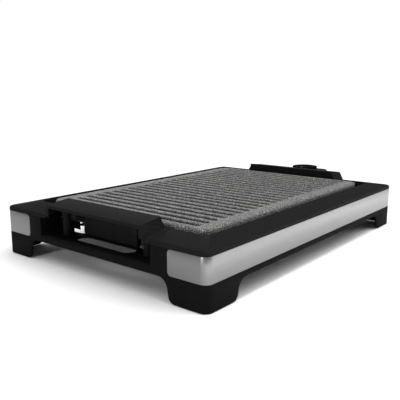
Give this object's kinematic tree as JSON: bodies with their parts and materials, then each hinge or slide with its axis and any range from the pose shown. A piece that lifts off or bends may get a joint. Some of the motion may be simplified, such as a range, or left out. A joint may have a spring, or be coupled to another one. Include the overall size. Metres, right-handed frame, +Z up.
{
  "type": "electric table griddle",
  "caption": "Flat electric table griddle with a ribbed lift-off plate, raised end grips, a drip drawer and a plug-in thermostat.",
  "frame": {"origin": "under the middle of the whole footprint, from the drawer's end face to the cord inlet's tip, on the table", "axes": "+X along the body towards the thermostat, +Z up"},
  "size_m": [0.569, 0.354, 0.0835],
  "materials": {
    "black_plastic": "fine satin moulded",
    "knob_plastic": "satin moulded",
    "brushed_band": "brushed lengthways",
    "black_rubber": "matt",
    "bare_steel": "rolled sheet",
    "screw_steel": "zinc plated",
    "pin_metal": "plated",
    "ceramic": "steatite ceramic",
    "element_sheath": "heat darkened",
    "stone_coating": "speckled stone-effect non-stick",
    "tray_aluminium": "pressed sheet",
    "lead_sleeve": "silicone sleeve",
    "lamp_lens": "clear red lens",
    "pointer_paint": "light grey inlay"
  },
  "bodies": {
    "base": {"base_shell": "black_plastic", "top_frame": "black_plastic", "front_band": "brushed_band", "rear_band": "brushed_band", "tray_end_handle": "black_plastic", "control_end_handle": "black_plastic", "foot_pads": "black_rubber", "heat_shield": "bare_steel", "plate_supports": "ceramic", "heating_element": "element_sheath", "element_clips": "bare_steel", "terminal_block": "ceramic", "terminal_pins": "pin_metal", "connector_shroud": "bare_steel", "probe_sleeve": "bare_steel", "tray_rails": "bare_steel", "frame_screws": "screw_steel", "handle_screws": "screw_steel"},
    "plate": {"grill_plate": "stone_coating"},
    "drawer": {"drip_tray": "tray_aluminium", "tray_front": "black_plastic", "tray_rivets": "screw_steel"},
    "thermostat": {"case_bottom": "black_plastic", "case_top": "black_plastic", "contact_sockets": "pin_metal", "probe_rod": "bare_steel", "thermostat_unit": "ceramic", "internal_leads": "lead_sleeve", "pilot_lamp": "lamp_lens", "cord_gland": "black_rubber", "case_screws": "screw_steel"},
    "knob": {"control_knob": "knob_plastic", "knob_shaft": "screw_steel", "knob_pointer": "pointer_paint"}
  },
  "joints": [
    {"name": "plate_lift", "type": "slide", "parent": "base", "child": "plate", "axis": [0, 0, 1], "range_m": [0, 0.06]},
    {"name": "drawer_slide", "type": "slide", "parent": "base", "child": "drawer", "axis": [-1, 0, 0], "range_m": [0, 0.24]},
    {"name": "thermostat_pull", "type": "slide", "parent": "base", "child": "thermostat", "axis": [1, 0, 0], "range_m": [0, 0.13]},
    {"name": "knob_turn", "type": "hinge", "parent": "thermostat", "child": "knob", "pos_m": [0.2415, 0, 0.074], "axis": [0, 0, -1], "range_deg": [0, 280]}
  ]
}
